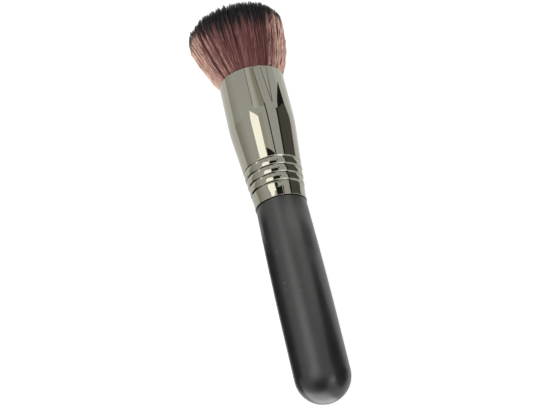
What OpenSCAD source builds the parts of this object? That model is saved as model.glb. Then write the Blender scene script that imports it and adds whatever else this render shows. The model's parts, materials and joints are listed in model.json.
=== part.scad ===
// Foundation brush with a domed, dense tuft, lying on its side on a table.
// Every piece is drawn upright about the brush's own axis: its height 0 is the ferrule's lower edge,
// the tuft is above it and the handle below. Then the brush is laid down as it rests on a table.
// Row frame: +Z up, +X towards the butt, origin on the table under the middle of the brush's box.

/* [Ferrule] */
// Length of the ferrule from its lower edge to its mouth
ferrule_len = 55; // [52:0.5:70]
// Outer diameter of the ferrule at its mouth
mouth_d = 25.3; // [24.6:0.1:30]
// Outer diameter of the ferrule where the barrel turns into the cone
barrel_d = 25.9; // [25:0.1:31]
// Length of the barrel, from the mouth to the shoulder
barrel_len = 20.5; // [17:0.5:22]
// Softness of the shoulder between barrel and cone
shoulder_soft = 0.22; // [0.05:0.01:0.6]
// Outer diameter of the straight skirt at the lower edge
skirt_d = 20; // [19:0.1:20.4]
// Length of the straight skirt
skirt_len = 2.5; // [1:0.1:3]
// Thickness of the metal
wall = 0.45; // [0.3:0.05:0.6]
// Rounding of the cut edges of the metal
lip_r = 0.15; // [0.05:0.01:0.15]

/* [Rolled beads] */
// Number of beads rolled round the ferrule
bead_count = 3; // [1:1:3]
// Length of one bead along the ferrule
bead_pitch = 3.3; // [2.5:0.1:3.6]
// Distance from the lower edge to the first groove
bead_foot = 6.8; // [5:0.1:8]
// Depth of the grooves between the beads, under the cone
groove_depth = 0.45; // [0.2:0.05:0.55]
// How far a bead's crown stands out of the cone
bead_rise = 0.12; // [0:0.02:0.3]
// Softness of a groove's bottom, as a share of the bead
groove_soft_share = 0.14; // [0.05:0.01:0.4]

/* [Handle] */
// Length of the handle that shows, from the ferrule to the butt's end
handle_len = 80.6; // [72:0.2:120]
// How far the ferrule's edge stands out over the handle's neck, as a share of the metal's thickness
neck_step_share = 0.75; // [0.3:0.05:0.85]
// Largest diameter of the handle, also that of its domed butt
butt_d = 20.9; // [20.2:0.1:24]
// Length over which the handle swells from its neck to its full diameter
swell_len = 52; // [30:1:56]
// Length of the tenon that stands in the ferrule
tenon_len = 17; // [15:0.5:20]
// Chamfer at the tenon's end
tenon_chamfer = 0.8; // [0.2:0.1:1.5]
// Number of glue grooves turned into the tenon
glue_groove_count = 3; // [1:1:3]
// Width of a glue groove
glue_groove_w = 1.4; // [0.6:0.1:1.6]
// Depth of a glue groove
glue_groove_depth = 0.6; // [0.2:0.1:1.2]

/* [Tuft] */
// Length of the tuft out of the ferrule, to the top of its dome
tuft_len = 29; // [24:0.5:40]
// Diameter of the tuft at its widest
tuft_d = 38; // [34:0.5:44]
// Height of the widest place above the ferrule's mouth
wide_h = 20; // [15:0.5:22]
// Rings of strands round the middle one
strand_rings = 10; // [10:1:11]
// Width of a strand, as a share of the room between two rings
strand_width_share = 0.52; // [0.3:0.01:0.55]
// Length of a strand's pointed end
point_len = 3.5; // [2:0.1:4]
// How much wider the tuft fans out on one side than it would evenly, as a share
fan_bias_share = 0.085; // [0:0.005:0.12]
// Depth to which the side of the tuft is pressed flat on the table
press_depth = 0.5; // [0.1:0.05:1]

/* [Knot inside the ferrule] */
// Depth of the bonded root slice's top under the ferrule's mouth
root_depth = 11.5; // [9:0.1:14]
// Thickness of the bonded root slice
slice_len = 2; // [1:0.1:3]
// Width of the band that gathers the roots
band_len = 4; // [2:0.1:6]
// Thickness of the band
band_wall = 0.4; // [0.2:0.05:0.5]
// Depth of the resin under the root slice
plug_len = 5; // [2:0.1:8]

/* [Clearances] */
// Gap left between pieces that lie against each other round their side
film_gap = 0.05; // [0.02:0.01:0.1]
// Gap between the tenon and the tightest place of the ferrule's bore
tenon_gap = 0.12; // [0.05:0.01:0.3]
// Gap between the strands and what surrounds them
hair_gap = 0.1; // [0.05:0.01:0.2]

/* [Hidden] */
$fn = 96;

// Steps of the curved outlines
bead_steps = 12;
shoulder_steps = 12;
swell_steps = 12;
lip_steps = 4;

mouth_r = mouth_d / 2;
barrel_r = barrel_d / 2;
skirt_r = skirt_d / 2;
neck_r = skirt_r - neck_step_share * wall;
butt_r = butt_d / 2;
tuft_r = tuft_d / 2;

shoulder_z = ferrule_len - barrel_len;
beads_top = bead_foot + bead_count * bead_pitch;
dome_z = handle_len - butt_r;

// Half a bead beyond the outer grooves their flanks have run out into the plain cone
beads_start = bead_foot - bead_pitch / 2;
beads_end = beads_top + bead_pitch / 2;

// Outer radius of the ferrule at a height over its lower edge: a straight skirt, a cone up to the
// shoulder and a barrel that closes a little towards the mouth, with the beads rolled into the cone
function cone_r(z) = skirt_r + (barrel_r - skirt_r) * (z - skirt_len) / (shoulder_z - skirt_len);
function barrel_line_r(z) = barrel_r + (mouth_r - barrel_r) * (z - shoulder_z) / barrel_len;
function softer_min(a, b, soft) = (a + b - sqrt(pow(a - b, 2) + pow(soft, 2))) / 2;
function bead_swell_share(turn) =
    (sqrt(pow(sin(180 * turn), 2) + pow(groove_soft_share, 2)) - groove_soft_share)
    / (sqrt(1 + pow(groove_soft_share, 2)) - groove_soft_share);
function bead_wave(z) =
    (groove_depth + bead_rise) * bead_swell_share((z - bead_foot) / bead_pitch) - groove_depth;
function bead_out(z) = z >= bead_foot && z <= beads_top
    ? bead_wave(z)
    : z > beads_start && z < beads_end
        ? min(0, bead_wave(z))
        : 0;
function ferrule_r(z) =
    softer_min(max(skirt_r, cone_r(z)), barrel_line_r(z), shoulder_soft) + bead_out(z);
function bore_r(z) = ferrule_r(z) - wall;

// Heights at which the ferrule's outline has points, first over the beads and then about the shoulder
bead_heights = [for (i = [0 : (bead_count + 1) * bead_steps])
    beads_start + i * bead_pitch / bead_steps];
shoulder_reach_share = 1 / 3;
shoulder_heights = [for (i = [0 : shoulder_steps])
    let (z = shoulder_z + (2 * i / shoulder_steps - 1) * shoulder_reach_share * barrel_len)
    if (z > beads_end) z];
ferrule_heights = concat([skirt_len], bead_heights, shoulder_heights);

// A quarter turn of points round a rounded corner, from one angle to another
function corner(centre, radius, from, to) =
    [for (i = [0 : lip_steps])
        let (a = from + (to - from) * i / lip_steps)
        centre + radius * [cos(a), sin(a)]];

// The drawn shell: one even wall that follows the whole outline, with softened edges
module ferrule() {
    foot_r = skirt_r;
    foot_in = skirt_r - wall;
    top_out = mouth_r;
    top_in = mouth_r - wall;
    outline = concat(
        corner([foot_r - lip_r, lip_r], lip_r, -90, 0),
        [for (z = ferrule_heights) [ferrule_r(z), z]],
        corner([top_out - lip_r, ferrule_len - lip_r], lip_r, 0, 90),
        corner([top_in + lip_r, ferrule_len - lip_r], lip_r, 90, 180),
        [for (i = [len(ferrule_heights) - 1 : -1 : 0])
            [bore_r(ferrule_heights[i]), ferrule_heights[i]]],
        [[foot_in, 0]]
    );
    color([0.5, 0.49, 0.45])
        lay_down() rotate_extrude() polygon(outline);
}

// Handle: a turned body that swells to its domed butt, and a tenon with glue grooves
tenon_r = min(bore_r(0), bore_r(bead_foot)) - tenon_gap;
glue_foot = bead_foot + bead_pitch / 4;
glue_top = tenon_len - tenon_chamfer;
groove_room = (glue_top - glue_foot) / glue_groove_count;
function handle_r(depth) = butt_r - (butt_r - neck_r) * pow(1 - min(1, depth / swell_len), 2);

// Points down the grooved side of the tenon, grown by a gap on every side
function grooved_side(grow) =
    [for (i = [0 : glue_groove_count - 1])
        let (middle = glue_foot + (i + 1 / 2) * groove_room, half = glue_groove_w / 2 - grow)
        each [
            [tenon_r + grow, middle - half],
            [tenon_r + grow - glue_groove_depth, middle - half],
            [tenon_r + grow - glue_groove_depth, middle + half],
            [tenon_r + grow, middle + half]
        ]];

module handle() {
    outline = concat(
        [[0, -dome_z], [butt_r, -dome_z]],
        [for (i = [swell_steps : -1 : 0])
            let (depth = swell_len * i / swell_steps)
            [handle_r(depth), -depth]],
        [[tenon_r, 0]],
        grooved_side(0),
        [[tenon_r, glue_top], [tenon_r - tenon_chamfer, tenon_len], [0, tenon_len]]
    );
    color([0.12, 0.12, 0.13])
        lay_down() rotate_extrude() {
            polygon(outline);
            translate([0, -dome_z])
                intersection() {
                    circle(r = butt_r);
                    translate([0, -butt_r]) square([butt_r, butt_r]);
                }
        }
}

// Adhesive between the tenon and the ferrule. It fills the glue grooves and the back of the beads.
module tenon_glue() {
    heights = concat(
        [glue_foot],
        [for (z = bead_heights) if (z > glue_foot && z < glue_top) z],
        [glue_top]
    );
    outline = concat(
        [for (i = [len(heights) - 1 : -1 : 0]) [bore_r(heights[i]) - film_gap, heights[i]]],
        [[tenon_r + film_gap, glue_foot]],
        grooved_side(film_gap),
        [[tenon_r + film_gap, glue_top]]
    );
    color([0.75, 0.68, 0.5])
        lay_down() rotate_extrude() polygon(outline);
}

// Knot: the root slice lies in a cup of resin, and a band stands on the cup round the strands
slice_top = ferrule_len - root_depth;
slice_foot = slice_top - slice_len;
plug_foot = slice_foot - plug_len;
band_foot = slice_top + film_gap;
band_r = bore_r(band_foot + band_len) - film_gap;
slice_r = band_r - band_wall;

module resin_plug() {
    outline = [
        [0, plug_foot],
        [bore_r(plug_foot) - film_gap, plug_foot],
        [bore_r(slice_foot) - film_gap, slice_foot],
        [bore_r(slice_top) - film_gap, slice_top],
        [slice_r + film_gap, slice_top],
        [slice_r + film_gap, slice_foot - film_gap],
        [0, slice_foot - film_gap]
    ];
    color([0.82, 0.74, 0.52])
        lay_down() rotate_extrude() polygon(outline);
}

module root_band() {
    color([0.7, 0.7, 0.7])
        lay_down() translate([0, 0, band_foot])
            rotate_extrude()
                translate([slice_r, 0]) square([band_wall, band_len]);
}

// Tuft: rings of three-sided strands that rise from the root slice, pass the band and the mouth,
// fan out to the widest place and end in points on a dome. Heights here are over the mouth.
root_h = -root_depth;
rim_h = lip_r + hair_gap;
function ring_room(r) = r / (strand_rings + strand_width_share);
band_room = slice_r - hair_gap;
band_h = root_h + film_gap + band_len;
mouth_room = mouth_r - wall - hair_gap;
// Share of the way out that the fan has gone at a share of the height up to its widest place
fan_power = 1.35;
function fan_share(t) = 1 - pow(1 - t, fan_power);
// Radius that holds the whole tuft at a height over the mouth
function tuft_room(h) = h <= band_h
    ? band_room
    : h <= rim_h
        ? band_room + (mouth_room - band_room) * (h - band_h) / (rim_h - band_h)
        : mouth_room + (tuft_r - mouth_room) * fan_share(min(1, (h - rim_h) / (wide_h - rim_h)));

// The dome over the widest place is a rounder one than an ellipse, and flatter on top
dome_len = tuft_len - wide_h;
dome_power = 3;
rim_ring_share = 0.96;
function tip_h(share) =
    wide_h + dome_len * pow(1 - pow(share * rim_ring_share, dome_power), 1 / dome_power);

// Heights of a strand's rings of points. The two outer rings of strands show from the side
// and bend with the fan, and those inside run straight from the mouth.
bend_share = 0.12;
flare_share = 0.5;
function strand_levels(ring) = ring > strand_rings - 2
    ? [root_h, rim_h, bend_share * wide_h, flare_share * wide_h,
        tip_h(ring / strand_rings) - point_len]
    : [root_h, rim_h, tip_h(ring / strand_rings) - point_len];

// Height over the table of a point of the upright brush, before it is laid down
reach = dome_z + ferrule_len + wide_h;
lean = atan2(tuft_r, reach) - asin((press_depth + butt_r) / norm([reach, tuft_r]));
axis_z = butt_r + dome_z * sin(lean);
function over_table(p) = axis_z + p.x * cos(lean) + p.z * sin(lean);

// Room of one strand, its way out to the side at a height, and what the table presses it in by.
// The pressing dies away towards the middle of the tuft.
press_fade = 4;
function strand_half(h) = strand_width_share * ring_room(tuft_room(h));
function side_share(a, h) = 1 - fan_bias_share * sin(a) * max(0, min(1, h / wide_h));
function strand_out(share, a, h) = share * (tuft_room(h) - strand_half(h)) * side_share(a, h);
function pressed(a, h, half) =
    max(0, -over_table(concat((strand_out(1, a, h) + half) * [cos(a), sin(a)], ferrule_len + h)));
function strand_middle(share, a, h, half) =
    concat(strand_out(share, a, h) * [cos(a), sin(a)], ferrule_len + h)
    + [pressed(a, h, half) * pow(share, press_fade) / cos(lean), 0, 0];

// The middle strand, then ring after ring, each with six strands more and turned by half a strand
strands = concat(
    [[0, 0]],
    [for (ring = [1 : strand_rings])
        for (i = [0 : 6 * ring - 1])
            [ring, (i + ring % 2 / 2) * 60 / ring]]
);

// A strand's points: rings of three, with one corner outwards and two inwards, and then its tip
corners = 3;
outer_corner = 0;
right_corner = 1;
left_corner = 2;
function strand_points(ring, a) =
    let (share = ring / strand_rings)
    concat(
        [for (h = strand_levels(ring))
            let (half = strand_half(h), middle = strand_middle(share, a, h, half))
            for (i = [0 : corners - 1])
                let (turn = a + i * 360 / corners)
                middle + half * [cos(turn), sin(turn), 0]],
        [strand_middle(share, a, tip_h(share), 0)]
    );
strand_sizes = [for (s = strands) len(strand_levels(s[0])) * corners + 1];
first_points = [for (i = 0, at = 0; i < len(strands); at = at + strand_sizes[i], i = i + 1) at];

// Triangles of a wall between a row of points and the row that starts a number of points later
function wall_faces(first, count, later) =
    [for (i = [0 : count - 1])
        let (a = first + i, b = first + (i + 1) % count)
        each [[a, a + later, b], [b, a + later, b + later]]];
function strand_faces(first, levels) = concat(
    [for (i = [0 : levels - 2]) each wall_faces(first + i * corners, corners, corners)],
    [for (i = [0 : corners - 1])
        let (top = first + (levels - 1) * corners)
        [top + i, top + corners, top + (i + 1) % corners]]
);

// A loop through the feet of a ring of strands, as pairs of a point's number and its angle. The
// outer loop goes round the strands' outer corners and the inner one keeps to their inner corners.
foot_half = strand_half(root_h);
function foot_angle(ring) = atan2(
    foot_half * sin(120),
    strand_out(ring / strand_rings, 0, root_h) + foot_half * cos(120)
);
outer_side = [[left_corner, -1], [outer_corner, 0], [right_corner, 1]];
inner_side = [[left_corner, -1], [right_corner, 1]];
function foot_loop(ring, side) =
    [for (i = [0 : 6 * ring - 1])
        let (strand = 1 + 3 * ring * (ring - 1) + i)
        for (c = side)
            [first_points[strand] + c[0], strands[strand][1] + c[1] * foot_angle(ring)]];
middle_loop = [for (i = [0 : corners - 1]) [i, i * 360 / corners]];

// Triangles between a loop and the next one out. They go round both loops side by side, and the
// loop whose next point comes first takes the step.
function angle_at(loop, i) = loop[i % len(loop)][1] + (i < len(loop) ? 0 : 360);
function point_at(loop, i) = loop[i % len(loop)][0];
function steps_inside(inside, outside, at) = at[1] == len(outside)
    || (at[0] < len(inside) && angle_at(inside, at[0] + 1) <= angle_at(outside, at[1] + 1));
function floor_faces(inside, outside) =
    [for (at = [0, 0]; at[0] + at[1] < len(inside) + len(outside);
        at = at + (steps_inside(inside, outside, at) ? [1, 0] : [0, 1]))
        let (a = point_at(inside, at[0]), b = point_at(outside, at[1]))
        steps_inside(inside, outside, at)
            ? [a, point_at(inside, at[0] + 1), b]
            : [a, point_at(outside, at[1] + 1), b]];

// The bonded root slice: a many-sided disc whose top is the floor between the strands' feet
rim_count = 6 * strand_rings;
rim_first = first_points[len(strands) - 1] + strand_sizes[len(strands) - 1];
function rim_points(z) =
    [for (i = [0 : rim_count - 1])
        let (a = (i + strand_rings % 2 / 2) * 360 / rim_count)
        [slice_r * cos(a), slice_r * sin(a), z]];
rim_loop = [for (i = [0 : rim_count - 1])
    [rim_first + rim_count + i, (i + strand_rings % 2 / 2) * 360 / rim_count]];
slice_points = concat(rim_points(slice_foot), rim_points(slice_top), [[0, 0, slice_foot]]);
slice_faces = concat(
    wall_faces(rim_first, rim_count, rim_count),
    [for (i = [0 : rim_count - 1])
        [rim_first + 2 * rim_count, rim_first + i, rim_first + (i + 1) % rim_count]],
    floor_faces(middle_loop, foot_loop(1, inner_side)),
    [for (ring = [1 : strand_rings - 1])
        each floor_faces(foot_loop(ring, outer_side), foot_loop(ring + 1, inner_side))],
    floor_faces(foot_loop(strand_rings, outer_side), rim_loop)
);

module tuft() {
    color([0.42, 0.22, 0.22])
        lay_down() polyhedron(
            points = concat([for (s = strands) each strand_points(s[0], s[1])], slice_points),
            faces = concat(
                [for (i = [0 : len(strands) - 1])
                    each strand_faces(first_points[i], len(strand_levels(strands[i][0])))],
                slice_faces
            )
        );
}

// Least gap between two rings and between two strands of a ring, at the mouth and the widest place
function ring_gap(h) = (tuft_room(h) - strand_half(h)) / strand_rings - 1.5 * strand_half(h);
function side_gap(h) =
    2 * (tuft_room(h) - strand_half(h)) * sin(30 / strand_rings) - sqrt(3) * strand_half(h);
echo("Least gap between strands", min([for (h = [root_h, wide_h]) min(ring_gap(h), side_gap(h))]));
echo("Strands", len(strands));

// Laid on its side: the butt and the widest place of the tuft touch the table
middle_x = ((dome_z - ferrule_len - tuft_len) * cos(lean) + butt_r) / 2;
middle_y = fan_bias_share * tuft_r;
module lay_down() {
    translate([-middle_x, middle_y, axis_z]) rotate([0, lean - 90, 0]) children();
}

handle();
tenon_glue();
ferrule();
resin_plug();
root_band();
tuft();
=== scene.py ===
import json
import math

import bmesh
import bpy
import numpy as np
from mathutils import Matrix, Vector


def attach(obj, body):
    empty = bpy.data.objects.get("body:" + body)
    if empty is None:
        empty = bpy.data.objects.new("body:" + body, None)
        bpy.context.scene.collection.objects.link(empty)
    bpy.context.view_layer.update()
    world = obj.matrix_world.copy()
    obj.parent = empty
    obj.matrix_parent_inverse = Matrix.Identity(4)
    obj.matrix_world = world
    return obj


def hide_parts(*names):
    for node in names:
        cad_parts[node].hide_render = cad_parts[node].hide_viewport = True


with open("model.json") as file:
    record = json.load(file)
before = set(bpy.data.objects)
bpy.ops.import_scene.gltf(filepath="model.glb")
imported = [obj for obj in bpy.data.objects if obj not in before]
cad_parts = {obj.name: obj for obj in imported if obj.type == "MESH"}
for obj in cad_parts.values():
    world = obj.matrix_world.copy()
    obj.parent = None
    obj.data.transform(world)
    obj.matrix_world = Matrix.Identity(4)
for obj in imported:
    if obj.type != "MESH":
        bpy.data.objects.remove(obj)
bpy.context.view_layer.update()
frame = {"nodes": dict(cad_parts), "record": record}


# Handle: one turned piece of wood that goes on inside the ferrule as a tenon with three glue grooves. Its
# matte black lacquer is sprayed and cured, which leaves a faint orange peel and a few specks of dust.
MM = 0.001
handle_len = 80.6 * MM
butt_r = 10.45 * MM
neck_r = 9.6625 * MM
swell_len = 52.0 * MM
tenon_r = 9.372 * MM
tenon_len = 17.0 * MM
tenon_chamfer = 0.8 * MM
glue_grooves = (9.054 * MM, 11.912 * MM, 14.771 * MM)
glue_groove_w = 1.4 * MM
glue_groove_depth = 0.6 * MM
shoulder_ease = 0.35 * MM
dome_steps = 24
swell_steps = 26
turn_steps = 160
weld = 0.0005 * MM
crease = math.radians(32)
lacquer_dark = (0.0095, 0.0095, 0.0100)
lacquer_light = (0.0150, 0.0148, 0.0152)
dust_grey = (0.30, 0.30, 0.29, 1)


def new_finish(name, **values):
    """A material whose even values are set on its shader's own sockets."""
    finish = bpy.data.materials.new(name)
    finish.use_nodes = True
    shader = finish.node_tree.nodes["Principled BSDF"]
    for socket, value in values.items():
        shader.inputs[socket.replace("_", " ")].default_value = value
    return finish


def add_node(finish, kind, **values):
    """A node of a material or of the world, with its settings and the values of its sockets."""
    node = finish.node_tree.nodes.new("ShaderNode" + kind)
    for name, value in values.items():
        socket = name.replace("_", " ")
        if socket in node.inputs:
            node.inputs[socket].default_value = value
        else:
            setattr(node, name, value)
    return node


def wire(finish, *ends):
    """Joins each output in a list to the input that follows it."""
    for source, target in zip(ends[::2], ends[1::2]):
        finish.node_tree.links.new(source, target)


def shader_of(finish):
    """The shader of a material."""
    return finish.node_tree.nodes["Principled BSDF"]


def add_ramp(finish, source, *stops):
    """A colour ramp over a value, from stops of a place and a grey or a colour."""
    ramp = add_node(finish, "ValToRGB")
    points = ramp.color_ramp.elements
    while len(points) < len(stops):
        points.new(0.5)
    for point, (place, shade) in zip(points, stops):
        point.position = place
        point.color = (*shade, 1) if isinstance(shade, tuple) else (shade, shade, shade, 1)
    wire(finish, source, ramp.inputs["Fac"])
    return ramp.outputs["Color"]


def add_noise(finish, scale, detail=2.0, roughness=0.5, vector=None):
    """Noise over the piece's own coordinates, in features per metre."""
    noise = add_node(finish, "TexNoise", Scale=scale, Detail=detail, Roughness=roughness)
    if vector is None:
        vector = add_node(finish, "TexCoord").outputs["Object"]
    wire(finish, vector, noise.inputs["Vector"])
    return noise.outputs["Fac"]


def add_bump(finish, height, depth):
    """Raises the surface by a height from 0 to 1, times a depth in metres."""
    bump = add_node(finish, "Bump", Strength=1.0, Distance=depth)
    wire(finish, height, bump.inputs["Height"], bump.outputs["Normal"], shader_of(finish).inputs["Normal"])


lacquer = new_finish("black_lacquer", IOR=1.52, Specular_IOR_Level=0.62)
lacquer_cloud = add_noise(lacquer, 90, detail=4)
lacquer_shade = add_ramp(lacquer, lacquer_cloud, (0.3, lacquer_dark), (0.7, lacquer_light))
dust = add_node(lacquer, "TexVoronoi", Scale=420, Randomness=1.0)
wire(lacquer, add_node(lacquer, "TexCoord").outputs["Object"], dust.inputs["Vector"])
dust_spot = add_ramp(lacquer, dust.outputs["Distance"], (0.05, 1.0), (0.10, 0.0))
dust_here = add_ramp(lacquer, add_noise(lacquer, 160), (0.60, 0.0), (0.66, 0.8))
dust_mask = add_node(lacquer, "Math", operation="MULTIPLY")
dusty = add_node(lacquer, "Mix", data_type="RGBA")
dusty.inputs[7].default_value = dust_grey
wire(
    lacquer,
    dust_spot, dust_mask.inputs[0],
    dust_here, dust_mask.inputs[1],
    dust_mask.outputs[0], dusty.inputs[0],
    lacquer_shade, dusty.inputs[6],
    dusty.outputs[2], shader_of(lacquer).inputs["Base Color"],
    add_ramp(lacquer, add_noise(lacquer, 240, detail=3), (0.3, 0.31), (0.7, 0.38)),
    shader_of(lacquer).inputs["Roughness"],
)
add_bump(lacquer, add_noise(lacquer, 2200, detail=2), 0.012 * MM)


def turned(outline, closed):
    """A shape turned about the upright axis from an outline of radii and heights."""
    shape = bmesh.new()
    points = [shape.verts.new((radius, 0, height)) for radius, height in outline]
    ends = points[1:] + points[:1] if closed else points[1:]
    edges = [shape.edges.new(pair) for pair in zip(points, ends)]
    bmesh.ops.spin(
        shape, geom=points + edges, cent=(0, 0, 0), axis=(0, 0, 1), angle=math.tau, steps=turn_steps,
        use_merge=True,
    )
    bmesh.ops.remove_doubles(shape, verts=shape.verts, dist=weld)
    bmesh.ops.recalc_face_normals(shape, faces=shape.faces)
    for face in shape.faces:
        face.smooth = True
    for edge in shape.edges:
        edge.smooth = edge.calc_face_angle(0) < crease
    return shape


# The brush lies on its side along the axis of its own handle, whose round end is a mount of the frame.
# New pieces are drawn upright about that axis in metres, with height 0 at the ferrule's lower edge and
# the tuft above, and are then laid down along it.
handle_end = frame["record"]["mounts"][0]
edge_to_handle_end = handle_len - butt_r - handle_end["dims"]["length_mm"] * MM / 2
to_tuft = -Vector(handle_end["axis"]).normalized()
to_side = Vector((0, 1, 0))
to_sky = to_side.cross(to_tuft)
ferrule_foot = Vector(handle_end["pos_m"]) + edge_to_handle_end * to_tuft
lying = Matrix((to_sky, to_side, to_tuft)).transposed().to_4x4()
lying.translation = ferrule_foot


def new_piece(name, shape, finish):
    """A piece from a drawn shape, laid down along the brush, with its finish and its body."""
    mesh = bpy.data.meshes.new(name)
    shape.to_mesh(mesh)
    shape.free()
    mesh.transform(lying)
    mesh.materials.append(finish)
    piece = bpy.data.objects.new(name, mesh)
    bpy.context.scene.collection.objects.link(piece)
    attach(piece, "root")
    return piece


dome_foot = butt_r - handle_len
dome_turns = [math.radians(90 * i / dome_steps) for i in range(dome_steps + 1)]
handle_outline = [(butt_r * math.sin(a), dome_foot - butt_r * math.cos(a)) for a in dome_turns]
for step in range(swell_steps + 1):
    swelling = 1 - step / swell_steps
    depth = max(swell_len * swelling, shoulder_ease)
    handle_outline.append((butt_r - (butt_r - neck_r) * (1 - swelling) ** 2, -depth))
handle_outline.append((tenon_r, 0))
for groove in glue_grooves:
    foot, top = groove - glue_groove_w / 2, groove + glue_groove_w / 2
    handle_outline += [(tenon_r, foot), (tenon_r - glue_groove_depth, foot)]
    handle_outline += [(tenon_r - glue_groove_depth, top), (tenon_r, top)]
handle_outline += [(tenon_r, tenon_len - tenon_chamfer), (tenon_r - tenon_chamfer, tenon_len), (0, tenon_len)]
handle = new_piece("lacquered_handle", turned(handle_outline, closed=False), lacquer)
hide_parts("handle")


# Tenon glue and resin plug: clear amber adhesive that was poured in and has cured, with fine bubbles.
# The glue holds the tenon in the ferrule, and the plug holds the roots of the tuft.
amber_dark = (0.50, 0.33, 0.12)
amber_light = (0.68, 0.52, 0.25)


def dress(node, finish):
    """Gives a node of the frame its finish."""
    for slot in frame["nodes"][node].material_slots:
        slot.link = "OBJECT"
        slot.material = finish


adhesive = new_finish("amber_adhesive", Roughness=0.18, IOR=1.55)
adhesive_shade = add_ramp(adhesive, add_noise(adhesive, 180, detail=5), (0.3, amber_dark), (0.7, amber_light))
wire(adhesive, adhesive_shade, shader_of(adhesive).inputs["Base Color"])
bubbles = add_node(adhesive, "TexVoronoi", Scale=900, feature="SMOOTH_F1")
wire(adhesive, add_node(adhesive, "TexCoord").outputs["Object"], bubbles.inputs["Vector"])
add_bump(adhesive, bubbles.outputs["Distance"], 0.05 * MM)
dress("tenon_glue", adhesive)
dress("resin_plug", adhesive)


# Root band: a thin strip of rolled aluminium that gathers the roots of the tuft before they are potted.
# The rolling leaves fine lines along it.
strip_dark = (0.60, 0.60, 0.61)
strip_light = (0.74, 0.74, 0.75)
strip_metal = new_finish("rolled_strip", Metallic=1.0)
strip_lines = add_node(strip_metal, "Mapping", Scale=(1.0, 0.06, 0.06))
wire(strip_metal, add_node(strip_metal, "TexCoord").outputs["Object"], strip_lines.inputs["Vector"])
strip_grain = add_noise(strip_metal, 9000, detail=3, vector=strip_lines.outputs["Vector"])
wire(
    strip_metal,
    add_ramp(strip_metal, strip_grain, (0.3, strip_dark), (0.7, strip_light)),
    shader_of(strip_metal).inputs["Base Color"],
    add_ramp(strip_metal, strip_grain, (0.3, 0.26), (0.7, 0.38)),
    shader_of(strip_metal).inputs["Roughness"],
)
add_bump(strip_metal, strip_grain, 0.004 * MM)
dress("root_band", strip_metal)


# Ferrule: a thin shell drawn from sheet metal, with three beads rolled into its cone, then polished
# and plated in black nickel. It is crimped on the glued tenon, and its mouth holds the tuft.
ferrule_len = 55.0 * MM
mouth_r = 12.65 * MM
barrel_r = 12.95 * MM
barrel_len = 20.5 * MM
shoulder_soft = 0.22 * MM
skirt_r = 10.0 * MM
skirt_len = 2.5 * MM
metal = 0.45 * MM
lip_r = 0.15 * MM
bead_count = 3
bead_pitch = 3.3 * MM
bead_foot = 5.95 * MM
groove_depth = 0.30 * MM
bead_rise = 0.08 * MM
lip_support = 0.05 * MM
shoulder_z = ferrule_len - barrel_len
nickel_dark = (0.312, 0.302, 0.250)
nickel_light = (0.342, 0.332, 0.276)

# Shares of the way from one groove to the next: where a bead has risen to its full height, up to where it
# keeps it, and how far the lowest groove runs out below
bead_edge = 0.15
bead_plain = 0.38
foot_edge = 0.20

# Steps of the outline
bead_steps = 40
skirt_steps = 4
plain_steps = 48
lip_steps = 5


def bead_height(z):
    """How far the beads lie outside the plain cone. Each is fullest close over its lower groove."""
    bead, place = divmod((z - bead_foot) / bead_pitch, 1)
    from_groove = math.sin(math.pi / 2 * min(1, place / bead_edge))
    to_groove = math.cos(math.pi / 2 * max(0, place - bead_plain) / (1 - bead_plain))
    if 0 <= bead < bead_count:
        return (groove_depth + bead_rise) * min(from_groove, to_groove) - groove_depth
    if bead == -1:
        return groove_depth * (math.cos(math.pi / 2 * max(0, place - 1 + foot_edge) / foot_edge) - 1)
    if bead == bead_count:
        return groove_depth * (from_groove - 1)
    return 0.0


def ferrule_radius(z):
    """Outer radius of the ferrule at a height over its lower edge."""
    cone = skirt_r + (barrel_r - skirt_r) * (z - skirt_len) / (shoulder_z - skirt_len)
    cone = max(skirt_r, cone)
    barrel = barrel_r + (mouth_r - barrel_r) * (z - shoulder_z) / barrel_len
    return (cone + barrel - math.hypot(cone - barrel, shoulder_soft)) / 2 + bead_height(z)


def lip(radius, height, start):
    """The quarter turn of a softened edge of the metal, from a start angle in degrees."""
    angles = [math.radians(start + 90 * i / lip_steps) for i in range(lip_steps + 1)]
    return [(radius + lip_r * math.cos(a), height + lip_r * math.sin(a)) for a in angles]


bead_start = bead_foot - bead_pitch / 2
bead_heights = [bead_start + i * bead_pitch / bead_steps for i in range((bead_count + 1) * bead_steps + 1)]
plain_len = ferrule_len - lip_r - bead_heights[-1]
plain_heights = [bead_heights[-1] + plain_len * i / plain_steps for i in range(1, plain_steps)]
# A ring close to each lip keeps the lip's shading to itself
skirt_heights = [lip_r + lip_support] + [skirt_len * i / skirt_steps for i in range(1, skirt_steps + 1)]
outer_heights = skirt_heights + bead_heights + plain_heights + [ferrule_len - lip_r - lip_support]
outer_line = [(ferrule_radius(z), z) for z in outer_heights]
inner_line = [(r - metal, z) for r, z in reversed(outer_line)]
ferrule_outline = (
    lip(skirt_r - lip_r, lip_r, -90)
    + outer_line
    + lip(mouth_r - lip_r, ferrule_len - lip_r, 0)
    + lip(mouth_r - metal + lip_r, ferrule_len - lip_r, 90)
    + inner_line
    + lip(skirt_r - metal + lip_r, lip_r, 180)
)

nickel = new_finish("black_nickel", Metallic=1.0)
nickel_cloud = add_noise(nickel, 45, detail=3)
nickel_smudge = add_noise(nickel, 260, detail=5, roughness=0.65)
wire(
    nickel,
    add_ramp(nickel, nickel_cloud, (0.3, nickel_dark), (0.7, nickel_light)),
    shader_of(nickel).inputs["Base Color"],
    add_ramp(nickel, nickel_smudge, (0.35, 0.012), (0.8, 0.045)),
    shader_of(nickel).inputs["Roughness"],
)
add_bump(nickel, add_noise(nickel, 60, detail=1), 0.010 * MM)

ferrule = new_piece("polished_ferrule", turned(ferrule_outline, closed=True), nickel)
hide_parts("ferrule")


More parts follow.
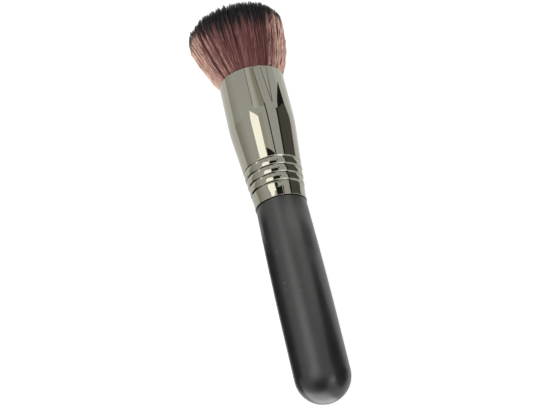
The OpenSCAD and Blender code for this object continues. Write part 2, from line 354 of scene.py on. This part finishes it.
# Tuft: a dense knot of fine synthetic filaments, dyed red-brown with black tips. The filaments stand
# in small locks, fused at the root in a bonded slice, and fan out over the ferrule's mouth to a dome,
# where the locks draw together in pointed clumps.
root_top = 43.5 * MM
slice_len = 2.0 * MM
slice_r = 11.84 * MM
root_r = 11.7 * MM
mouth_room = 12.08 * MM
tuft_r = 18.75 * MM
wide_h = 20.0 * MM
tuft_len = 29.0 * MM
fan_power = 1.35
bulge = 0.65 * MM
bulge_start = 0.7 * MM
bulge_fade = 4.0 * MM
fan_bias = 0.094
dome_power = 2.8
dome_tilt = 1.1 * MM
filament_r = 0.072 * MM
tip_thin = 0.8
tip_thin_from = 0.9
clump_count = 1100
lock_count = 5200
lock_size = 5
clump_mess = 0.35
lock_spread = 0.5
lock_pull = 0.4
pinch = 0.5
pinch_power = 2.5
wander = 0.16 * MM
side_wander = 0.06 * MM
own_wander = 0.35
ruffle = 1.4
ruffle_power = 4
loosening = 5
table_clear = 0.02 * MM
table_heap = 0.25 * MM
outer_share = 0.76
outer_parts = 4
outer_rings = [0.05, 0.2, 0.4, 0.6, 0.8, 0.93]
heart_parts = 2
heart_rings = [0.4, 0.85]
tone_columns = 128
column_start = 0.1
column_width = 0.8
colour_map = "OFBake"
gathered_len = 4.0 * MM
root_h = root_top - ferrule_len
gathered_h = root_h + gathered_len
rim_h = 0.25 * MM
draw = np.random.default_rng(11)


def tuft_room(h):
    """Radius that holds the tuft at a height over the ferrule's mouth."""
    inside = np.interp(h, [gathered_h, rim_h], [root_r, mouth_room])
    rise = np.clip((h - rim_h) / (wide_h - rim_h), 0, 1)
    fan = (tuft_r - mouth_room) * (1 - (1 - rise) ** fan_power)
    over = np.maximum(h - rim_h, 0)
    roll = bulge * np.exp(-over / bulge_fade) * (1 - np.exp(-over / bulge_start))
    return inside + fan + roll


def filament_mesh(name, rings):
    """One straight filament of three sides with a pointed end. Its rings are at heights 0, 1, 2 and so on."""
    thread = bmesh.new()
    bmesh.ops.create_circle(thread, segments=3, radius=1)
    edges = list(thread.edges)
    for _ in range(rings):
        grown = bmesh.ops.extrude_edge_only(thread, edges=edges)["geom"]
        ring = [g for g in grown if isinstance(g, bmesh.types.BMVert)]
        edges = [g for g in grown if isinstance(g, bmesh.types.BMEdge)]
        bmesh.ops.translate(thread, verts=ring, vec=(0, 0, 1))
    bmesh.ops.pointmerge(thread, verts=ring, merge_co=(0, 0, rings))
    bmesh.ops.recalc_face_normals(thread, faces=thread.faces)
    layer = thread.loops.layers.uv.new(colour_map)
    for face in thread.faces:
        face.smooth = True
        for place, loop in enumerate(face.loops):
            loop[layer].uv = (0 if place in (0, 3) else 1, loop.vert.co.z)
    mesh = bpy.data.meshes.new(name)
    thread.to_mesh(mesh)
    thread.free()
    return mesh


def repeated(name, mesh, count):
    """A mesh that holds a number of copies of another, one after the other in the same place."""
    pattern = bpy.data.objects.new(name + "_pattern", mesh)
    bpy.context.scene.collection.objects.link(pattern)
    copies = pattern.modifiers.new("copies", "ARRAY")
    copies.count = count
    copies.use_relative_offset = False
    copies.use_constant_offset = True
    copies.constant_offset_displace = (0, 0, 0)
    bpy.context.view_layer.update()
    graph = bpy.context.evaluated_depsgraph_get()
    whole = bpy.data.meshes.new_from_object(pattern.evaluated_get(graph))
    whole.name = name
    bpy.data.objects.remove(pattern)
    return whole


def sunflower(number_of, mess):
    """Places spread over a disc of radius 1 in a sunflower's pattern, each moved a little at random."""
    number = np.arange(number_of)
    turn = number * math.pi * (3 - math.sqrt(5))
    out = np.sqrt((number + 0.5) / number_of)
    places = np.stack([out * np.cos(turn), out * np.sin(turn)], 1)
    return places + draw.normal(0, mess / math.sqrt(number_of), places.shape)


# Each lock joins the clump whose middle is nearest, and each filament stands at random in its lock
clump_middle = sunflower(clump_count, clump_mess)
lock_middle = sunflower(lock_count, clump_mess)
lock_clump = np.argmin(((lock_middle[:, None] - clump_middle[None]) ** 2).sum(2), 1)
clump_drawn = draw.normal(0, 1, (4, clump_count))
lock_drawn = draw.normal(0, 1, (4, lock_count))
count = lock_count * lock_size
home = np.repeat(np.arange(lock_count), lock_size)
clump = lock_clump[home]
middle = clump_middle[clump]
offset = lock_middle[home] - middle + draw.normal(0, lock_spread / math.sqrt(lock_count), (count, 2))
share = np.minimum(1, np.hypot(*(middle + offset).T))
side_turn = np.arctan2(middle[:, 1] + offset[:, 1], middle[:, 0] + offset[:, 0])

# Tips: on the dome, longest in the middle of each clump, with a few that are much shorter
dome_edge = 0.97
clump_point = 0.8 * MM
clump_uneven = 0.45 * MM
tip_uneven = 0.2 * MM
tip_lift = 1.15 * MM
tip_over = 1.3 * MM
short_share = 0.05
short_by = 3 * MM
clump_share = np.minimum(1, np.hypot(*(middle + lock_pull * offset).T))
dome = (1 - (clump_share * dome_edge) ** dome_power) ** (1 / dome_power)
tip_h = wide_h + (tuft_len - wide_h) * dome + dome_tilt * share * np.sin(side_turn)
tip_h = tip_h - clump_point * np.hypot(*offset.T) * math.sqrt(clump_count) + tip_lift
tip_h = tip_h + clump_uneven * clump_drawn[0][clump] - tip_uneven * np.abs(draw.normal(0, 1, count))
tip_h = tip_h - np.where(draw.uniform(0, 1, count) < short_share, draw.uniform(0, short_by, count), 0)
tip_h = np.minimum(tip_h, tuft_len + tip_over)

# Dye: an even red-brown, less even at both sides of the tuft, with some dark locks. Painted light makes
# the outer filaments paler at both sides and underneath and darker on top, and painted shade darkens three
# partings. Turns are in degrees from straight up towards +Y. A parting has a turn, a depth and a half width.
# Each filament keeps to one column of the colour map.
# Painted light by turn about the tuft: outer filaments paler at both sides and underneath, where side lamps
# and the lit table fall, darker on top
side_turns = (-150, -90, -60, -50, -31, 0, 31, 40, 52, 65, 90, 150)
painted_side_light = (0.78, 0.80, 0.44, 0.25, 0.18, 0.01, -0.05, 0.22, 0.40, 0.66, 0.78, 0.78)
# Painted shade: three partings of the tuft, each a darker band of tone at a turn
painted_parting_shade = ((-53, 0.34, 1.6), (-38, 0.10, 1.2), (36, 0.30, 1.3))
tone_middle = 0.45
lock_tones = 0.055
clump_tones = 0.03
filament_tones = 0.11
dark_lock_from = 0.93
dark_lock_by = 0.16
side_uneven = 1.3
right_uneven = 0.9
chance = draw.uniform(0, 1, (2, lock_count))
lock_tone = lock_tones * lock_drawn[0] - np.where(chance[0] > dark_lock_from, dark_lock_by, 0)
at_side = np.clip((np.abs(np.sin(side_turn)) - 0.5) / 0.35, 0, 1)
at_right = np.clip((np.sin(side_turn) - 0.45) / 0.2, 0, 1)
at_surface = np.clip((share - 0.75) / 0.1, 0, 1)
uneven = 1 + side_uneven * at_side + right_uneven * at_right
tone = lock_tone[home] + clump_tones * clump_drawn[1][clump] + filament_tones * draw.normal(0, 1, count)
tone = uneven * tone
# Painted light on the outer filaments, paler at the sides and underneath and darker on top
tone = tone + tone_middle + np.interp(np.degrees(side_turn), side_turns, painted_side_light) * at_surface
# Painted shade darkens the tone along each parting
for parting_turn, depth, half_width in painted_parting_shade:
    tone = tone - depth * np.exp(-(((np.degrees(side_turn) - parting_turn) / half_width) ** 2))
tone = (np.floor(np.clip(tone, 0, 0.999) * tone_columns) + column_start) / tone_columns

# Black ends: never the same length, shorter at the sides, long on some locks and short on a few filaments
black_len = 6.5 * MM
black_least = 1.5 * MM
lock_black_by = 1.4 * MM
clump_black_by = 0.7 * MM
long_black_share = 0.10
long_black_by = 3.5 * MM
side_black_less = 0.6
short_black_share = 0.08
side_short_black_share = 0.2
short_black = 0.45
lock_black = black_len + lock_black_by * lock_drawn[1]
lock_black = lock_black + np.where(chance[1] < long_black_share, long_black_by, 0)
black_end = (lock_black[home] + clump_black_by * clump_drawn[2][clump]) * (1 - side_black_less * at_side)
black_end = np.maximum(black_least, black_end)
few_share = short_black_share + side_short_black_share * at_side
few = np.random.default_rng(12).uniform(0, 1, count) < few_share
black_end = np.where(few, short_black * black_end, black_end)
twist = draw.uniform(0, math.tau, count)

dye_stops = (
    (0.0, (0.045, 0.016, 0.016)),
    (0.35, (0.178, 0.056, 0.056)),
    (0.6, (0.310, 0.118, 0.112)),
    (0.85, (0.580, 0.305, 0.240)),
    (1.0, (1.0, 0.720, 0.600)),
)
end_black = (0.011, 0.011, 0.013, 1)
filament = new_finish("two_tone_filament", Roughness=0.42, Specular_IOR_Level=0.35)
colour_place = add_node(filament, "UVMap", uv_map=colour_map)
tone_and_height = add_node(filament, "SeparateXYZ")
streak_map = add_node(filament, "Mapping", Scale=(90, 26, 1))
streak = add_node(filament, "MapRange", From_Min=0.3, From_Max=0.7, To_Min=0.70, To_Max=1.30)
streaked_tone = add_node(filament, "Math", operation="MULTIPLY")
wire(
    filament,
    colour_place.outputs["UV"], tone_and_height.inputs["Vector"],
    colour_place.outputs["UV"], streak_map.inputs["Vector"],
    add_noise(filament, 1.0, detail=2, vector=streak_map.outputs["Vector"]), streak.inputs["Value"],
    streak.outputs["Result"], streaked_tone.inputs[0],
    tone_and_height.outputs["X"], streaked_tone.inputs[1],
)
dyed = add_node(filament, "Mix", data_type="RGBA")
dyed.inputs[7].default_value = end_black
wire(
    filament,
    add_ramp(filament, tone_and_height.outputs["Y"], (0.445, 0.0), (0.512, 1.0)), dyed.inputs[0],
    add_ramp(filament, streaked_tone.outputs[0], *dye_stops), dyed.inputs[6],
    dyed.outputs[2], shader_of(filament).inputs["Base Color"],
)


def lay_filaments(name, chosen, steps):
    """A piece with one filament for each chosen number, through rings at shares of its free length."""
    rings = len(steps) + 2
    mesh = repeated(name, filament_mesh(name + "_thread", rings), len(chosen))
    tips = tip_h[chosen][:, None]
    along = np.array([0.0, 0.0] + steps + [1.0])[None, :] * np.ones_like(tips)
    h = rim_h + (tips - rim_h) * along
    h[:, 0] = root_h

    # The middle of each ring: a lock draws in towards its clump, and the whole fans out to fill the room
    gather = 1 - pinch * along ** pinch_power
    place = middle[chosen][:, None, :] + offset[chosen][:, None, :] * gather[:, :, None]
    size = np.maximum(1, np.hypot(place[..., 0], place[..., 1]))
    place = place / size[..., None]
    angle = np.arctan2(place[..., 1], place[..., 0])
    side = 1 - fan_bias * np.sin(angle) * np.clip(h / wide_h, 0, 1)
    centre = place * (tuft_room(h) * side)[..., None]

    # A filament wanders a little off its way, mostly together with the others of its lock
    loose = np.minimum(1, along * loosening) * (1 + ruffle * np.clip(np.sin(angle), 0, 1) ** ruffle_power)
    way = draw.normal(0, 1, (lock_count, rings + 1, 2))[home[chosen]]
    way = way + draw.normal(0, own_wander, (len(chosen), rings + 1, 2))
    outwards = np.stack([np.cos(angle), np.sin(angle)], -1) * (loose * wander * way[..., 0])[..., None]
    sideways = np.stack([-np.sin(angle), np.cos(angle)], -1) * (loose * side_wander * way[..., 1])[..., None]
    centre = centre + outwards + sideways
    thick = filament_r * np.where(along > tip_thin_from, tip_thin, 1.0)

    # The straight pattern's three-sided rings go to their places, laid down along the brush
    corner = np.empty((len(mesh.vertices), 3))
    mesh.vertices.foreach_get("co", corner.reshape(-1))
    corner = corner.reshape(len(chosen), -1, 3)
    level = np.rint(corner[0, :, 2]).astype(int)
    cos, sin = np.cos(twist[chosen])[:, None], np.sin(twist[chosen])[:, None]
    x = corner[..., 0] * cos - corner[..., 1] * sin
    y = corner[..., 0] * sin + corner[..., 1] * cos
    upright = np.stack(
        [
            centre[:, level, 0] + x * thick[:, level],
            centre[:, level, 1] + y * thick[:, level],
            ferrule_len + h[:, level],
        ],
        -1,
    )
    lay = np.array(lying)
    laid = upright @ lay[:3, :3].T + lay[:3, 3]
    # Filaments that would sink into the table lie on it
    table_gap = table_clear + table_heap * draw.uniform(0, 1, len(chosen))[:, None]
    laid[..., 2] = np.maximum(laid[..., 2], table_gap)
    mesh.vertices.foreach_set("co", laid.astype(np.float32).reshape(-1))

    # The colour map holds the tone across and the way from the black end upwards
    dye_place = np.empty(len(mesh.loops) * 2, np.float32)
    layer = mesh.uv_layers[colour_map].data
    layer.foreach_get("uv", dye_place)
    dye_place = dye_place.reshape(len(chosen), -1, 2)
    loop_level = np.rint(dye_place[0, :, 1]).astype(int)
    from_black = (h - tips + black_end[chosen][:, None]) / tuft_len
    dye_place[..., 1] = np.clip(0.5 + 0.5 * from_black[:, loop_level], 0.001, 0.999)
    dye_place[..., 0] = tone[chosen][:, None] + dye_place[..., 0] * column_width / tone_columns
    layer.foreach_set("uv", dye_place.reshape(-1))
    mesh.update()
    piece = bpy.data.objects.new(name, mesh)
    bpy.context.scene.collection.objects.link(piece)
    mesh.materials.clear()
    mesh.materials.append(filament)
    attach(piece, "root")
    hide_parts("tuft")


outer = np.flatnonzero(share >= outer_share)
outer = outer[np.argsort(np.mod(side_turn[outer], math.tau), kind="stable")]
for number, part in enumerate(np.array_split(outer, outer_parts), 1):
    lay_filaments(f"tuft_outer_locks_{number}", part, outer_rings)
heart = np.flatnonzero(share < outer_share)
for number, part in enumerate(np.array_split(heart, heart_parts), 1):
    lay_filaments(f"tuft_heart_locks_{number}", part, heart_rings)


# Bonded root slice: the filaments' ends are fused into one disc with adhesive, which sits in the resin
# plug and keeps the tuft together.
slice_edge = 0.15 * MM
fused_dark = (0.20, 0.075, 0.065)
fused_light = (0.42, 0.28, 0.12)
root_slice = bmesh.new()
bmesh.ops.create_cone(
    root_slice, cap_ends=True, segments=96, radius1=slice_r, radius2=slice_r, depth=slice_len,
    matrix=Matrix.Translation((0, 0, root_top - slice_len / 2)),
)
rims = [e for e in root_slice.edges if abs(e.verts[0].co.z - e.verts[1].co.z) < slice_edge]
bmesh.ops.bevel(
    root_slice, geom=rims, offset=slice_edge, offset_type="OFFSET", segments=2, profile=0.5,
    affect="EDGES", material=-1,
)
fused = new_finish("fused_roots", Roughness=0.5)
fused_ends = add_node(fused, "TexVoronoi", Scale=6000)
wire(fused, add_node(fused, "TexCoord").outputs["Object"], fused_ends.inputs["Vector"])
wire(
    fused,
    add_ramp(fused, fused_ends.outputs["Distance"], (0.2, fused_dark), (0.7, fused_light)),
    shader_of(fused).inputs["Base Color"],
)
add_bump(fused, fused_ends.outputs["Distance"], 0.03 * MM)
new_piece("tuft_root_slice", root_slice, fused)


# Camera: it looks down on the lying brush from over its butt. The brush leans in the picture, and its
# butt comes towards the camera. Sizes in pixels are of a picture 540 wide and 405 high.
picture_w = 540
focus_px = 2000
lean_in_picture = math.radians(13.52)
butt_to_camera = math.radians(26.0)
foot_in_view = Vector((4.3, -1.43, -754.7)) * MM
camera_data = bpy.data.cameras.new("camera")
camera_data.sensor_width = 36.0
camera_data.lens = focus_px / picture_w * camera_data.sensor_width
camera_data.clip_start = 0.05
camera_data.clip_end = 20.0
camera = bpy.data.objects.new("camera", camera_data)
bpy.context.scene.collection.objects.link(camera)
butt_in_view = Vector((
    math.cos(butt_to_camera) * math.sin(lean_in_picture),
    -math.cos(butt_to_camera) * math.cos(lean_in_picture),
    math.sin(butt_to_camera),
))
sky_in_view = Vector((
    -math.sin(butt_to_camera) * math.sin(lean_in_picture),
    math.sin(butt_to_camera) * math.cos(lean_in_picture),
    math.cos(butt_to_camera),
))
in_view = Matrix((butt_in_view, sky_in_view, butt_in_view.cross(sky_in_view)))
in_row = Matrix((-to_tuft, to_sky, (-to_tuft).cross(to_sky))).transposed()
facing = in_row @ in_view
camera.matrix_world = Matrix.Translation(ferrule_foot - facing @ foot_in_view) @ facing.to_4x4()
bpy.context.scene.camera = camera


# Floor: a plain white table. It keeps the brush's soft shadow, and shows as white to the camera and in
# the polished metal.
floor_half = 3.0
floor_drop = 0.02 * MM
table_grey = (0.45, 0.45, 0.45, 1)
table_glow = 0.80
table_glow_in_metal = 0.62
floor_shape = bmesh.new()
bmesh.ops.create_grid(floor_shape, x_segments=1, y_segments=1, size=floor_half)
floor_mesh = bpy.data.meshes.new("floor")
floor_shape.to_mesh(floor_mesh)
floor_shape.free()
floor_mesh.transform(Matrix.Translation((0, 0, -floor_drop)))
floor = bpy.data.objects.new("floor", floor_mesh)
bpy.context.scene.collection.objects.link(floor)
white_table = new_finish("white_table", Roughness=0.8, Specular_IOR_Level=0.1)
shader_of(white_table).inputs["Base Color"].default_value = table_grey
shader_of(white_table).inputs["Emission Color"].default_value = (1, 1, 1, 1)
seen_by = add_node(white_table, "LightPath")
glow = add_node(white_table, "MapRange", To_Min=table_glow, To_Max=table_glow_in_metal)
wire(
    white_table,
    seen_by.outputs["Is Glossy Ray"], glow.inputs["Value"],
    glow.outputs["Result"], shader_of(white_table).inputs["Emission Strength"],
)
floor_mesh.materials.append(white_table)


# Sky: an even white room. It shows a little brighter in the metal and to the camera than the light that
# it gives the brush.
sky_light = 0.62
sky_seen = 0.88
world = bpy.data.worlds.new("white_room")
bpy.context.scene.world = world
world.use_nodes = True
sky = world.node_tree.nodes["Background"]
sky.inputs["Color"].default_value = (1, 1, 1, 1)
sky_rays = add_node(world, "LightPath")
sky_shown = add_node(world, "Math", operation="MAXIMUM")
sky_level = add_node(world, "MapRange", To_Min=sky_light, To_Max=sky_seen)
wire(
    world,
    sky_rays.outputs["Is Glossy Ray"], sky_shown.inputs[0],
    sky_rays.outputs["Is Camera Ray"], sky_shown.inputs[1],
    sky_shown.outputs[0], sky_level.inputs["Value"],
    sky_level.outputs["Result"], sky.inputs["Strength"],
)


# Lamps and cards stand about the brush. Their places are given by a turn about the brush's axis, from
# straight up towards the +Y side, a distance from the axis and a height along it.
def out_at(turn):
    """The direction straight out from the brush's axis at a turn."""
    return to_sky * math.cos(math.radians(turn)) + to_side * math.sin(math.radians(turn))


def about_brush(turn, distance, height):
    """A place in the room about the brush."""
    return ferrule_foot + distance * out_at(turn) + height * to_tuft


def soft_lamp(name, brightness, turns, distance, heights, tint=(1, 1, 1), in_metal=False):
    """An area lamp that faces the axis, of an even brightness, where 1 is that of a white wall."""
    out = out_at(sum(turns) / 2)
    lamp = bpy.data.lights.new(name, "AREA")
    lamp.shape = "RECTANGLE"
    lamp.size = 2 * distance * math.tan(math.radians(turns[1] - turns[0]) / 2)
    lamp.size_y = heights[1] - heights[0]
    lamp.color = tint
    lamp.energy = brightness * math.pi * lamp.size * lamp.size_y
    stand = bpy.data.objects.new(name, lamp)
    bpy.context.scene.collection.objects.link(stand)
    stand.matrix_world = Matrix((to_tuft.cross(out), to_tuft, out)).transposed().to_4x4()
    stand.matrix_world.translation = about_brush(sum(turns) / 2, distance, sum(heights) / 2)
    stand.visible_glossy = in_metal


def loose_card(name, shade, *corners):
    """A plain card that shows only in glossy surfaces, with corners given as turn, distance and height."""
    shape = bmesh.new()
    bmesh.ops.contextual_create(shape, geom=[shape.verts.new(about_brush(*corner)) for corner in corners])
    mesh = bpy.data.meshes.new(name)
    shape.to_mesh(mesh)
    shape.free()
    paper = bpy.data.materials.new(name)
    paper.use_nodes = True
    paper.node_tree.nodes.clear()
    shine = add_node(paper, "Emission", Color=(*shade, 1))
    face = add_node(paper, "OutputMaterial")
    wire(paper, shine.outputs[0], face.inputs["Surface"])
    mesh.materials.append(paper)
    stand = bpy.data.objects.new(name, mesh)
    bpy.context.scene.collection.objects.link(stand)
    stand.visible_camera = False
    stand.visible_diffuse = False
    stand.visible_shadow = False


def card(name, shade, distance, *corners):
    """A card at one distance from the axis, with corners given as turn and height."""
    loose_card(name, shade, *[(turn, distance, height) for turn, height in corners])


def strip_card(name, shade, turns, distance, heights):
    """A card with two edges along the brush."""
    low, high = heights
    card(name, shade, distance, (turns[0], low), (turns[1], low), (turns[1], high), (turns[0], high))


# The long window on the left of the sky, with its lamp, and seams and panels of the wall round it
wall = 0.60
wall_behind = 0.62
black = (0.03, 0.03, 0.026)
seam = (0.28, 0.27, 0.23)
soft_lamp("strip_lamp", 1.85, (-35.5, -7), wall, (-0.25, 0.357), tint=(1.0, 0.985, 0.955))
card(
    "strip_window", (2.73, 2.69, 2.61), wall,
    (-35.5, 0.10), (-7, 0.10), (-7, 0.200), (-5.5, 0.217), (-4.5, 0.25),
    (-29.5, 0.352), (-32, 0.26), (-33.5, 0.217), (-35.5, 0.200),
)
strip_card("handle_window", (2.3, 2.3, 2.25), (-46, -10), wall, (-0.25, 0.10))
strip_card("crest_window", (2.0, 2.0, 1.9), (-150, -60), wall, (0.50, 2.50))
strip_card("cone_shade", (0.80, 0.77, 0.66), (-4, 8), wall_behind, (0.196, 0.30))
strip_card("cone_seam", black, (24.6, 28.5), wall, (0.196, 0.373))
strip_card("barrel_seam_left", seam, (-15.5, -13.5), wall, (0.372, 0.60))
strip_card("barrel_panel", (1.08, 1.06, 1.03), (-13.5, 0), wall_behind, (0.366, 0.60))
card("barrel_shade", (0.62, 0.60, 0.52), wall_behind, (2, 0.435), (16, 0.435), (30, 0.368), (10, 0.368))
card("barrel_seam_middle", seam, wall, (0, 0.435), (2, 0.435), (28, 0.370), (25.5, 0.370))
card("barrel_seam_thin", (0.5, 0.48, 0.41), wall, (30, 0.435), (31, 0.435), (34, 0.385), (33, 0.385))
card("barrel_seam_right", seam, wall, (39, 0.42), (41.5, 0.42), (57, 0.372), (54, 0.372))
card("barrel_seam_edge", seam, wall, (68, 0.42), (70.5, 0.42), (57, 0.372), (54, 0.372))

# The hazy horizon that the metal shows along its left edge, and a lamp for the hair on either side
horizon = 0.10
haze = (
    ((0.72, 0.71, 0.67), (-91.5, -79), (0.075, 0.20)),
    ((0.79, 0.79, 0.76), (-79, -66), (0.075, 0.20)),
    ((0.57, 0.56, 0.51), (-91.5, -79), (-0.15, 0.075)),
    ((0.68, 0.67, 0.62), (-79, -68), (-0.15, 0.075)),
    ((0.79, 0.79, 0.76), (-68, -56), (-0.15, 0.075)),
)
strip_card("horizon_left", (0.60, 0.58, 0.51), (-96, -91.5), horizon, (-0.15, 0.20))
for number, (shade, turns, heights) in enumerate(haze, 1):
    strip_card(f"horizon_haze_{number}", shade, turns, horizon, heights)
side_lamp = 0.35
soft_lamp("left_lamp", 2.4, (-90, -66), side_lamp, (0.0, 0.20))
soft_lamp("right_lamp", 2.2, (66, 90), side_lamp, (0.0, 0.20))

# A small dark stand over the ferrule, which shows at the cone's foot and in the beads, and what is beyond
# the butt: the dark room under the camera, a lamp and the lit table
camera_stand = 0.05
strip_card("camera_stand_foot", black, (-4, 6), camera_stand, (0.0125, 0.0165))
card(
    "camera_stand", black, camera_stand,
    (-4, 0.0165), (20, 0.0165), (20, 0.0290), (4, 0.0310), (-4, 0.0316),
)
strip_card("under_camera", (0.0, 0.0, 0.0), (-80, 20), 0.30, (-1.70, -0.20))
soft_lamp("butt_lamp", 3.6, (38, 64), 0.28, (-0.38, -0.24), in_metal=True)
loose_card(
    "table_before_butt", (3.5, 3.5, 3.45),
    (-105, 0.036, -0.083), (150, 0.0108, -0.083), (100, 0.004, -0.20), (-91.2, 0.045, -0.20),
)

# A dark flag on the right of the ferrule, with a black edge before it and a black wedge behind, the pale
# cards that light the lowest part of the ferrule, and the flags along both sides of the handle
brown = (0.165, 0.155, 0.14)
flag = 0.046
flag_edge = 0.0455
flag_wedge = 0.0465
handle_flag = 0.030
card("right_flag", brown, flag, (54, 0.0105), (102, 0.0105), (104, 0.046), (95, 0.0596), (56, 0.0515))
card("right_flag_edge", black, flag_edge, (49, 0.0105), (57, 0.0105), (61, 0.054), (53.5, 0.053))
card("right_wedge", black, flag_wedge, (57, 0.049), (98, 0.056), (94, 0.0617), (91, 0.0705), (66, 0.0594))
strip_card("right_flag_foot", black, (52, 99), flag, (-0.007, 0.0105))
strip_card("neck_card", (1.5, 1.5, 1.45), (48, 105), 0.042, (0.003, 0.0118))
strip_card("neck_card_top", (2.6, 2.6, 2.5), (0, 60), 0.048, (0.003, 0.0126))
strip_card("neck_glow", (1.45, 1.43, 1.35), (19, 50), 0.08, (-0.020, 0.0225))
card(
    "right_handle_flag", black, handle_flag,
    (52, -0.020), (74, -0.020), (96, -0.062), (108, -0.080), (108, -0.100), (52, -0.100), (37, -0.062),
)
loose_card(
    "left_handle_flag", black,
    (-116.6, 0.0212, -0.080), (-100.8, 0.0509, -0.080), (-105.0, 0.0518, -0.003), (-125.4, 0.0233, -0.003),
)
strip_card("left_side_flag", black, (-110, -72), handle_flag, (-0.070, 0.0075))

bpy.context.scene.view_settings.view_transform = "Standard"
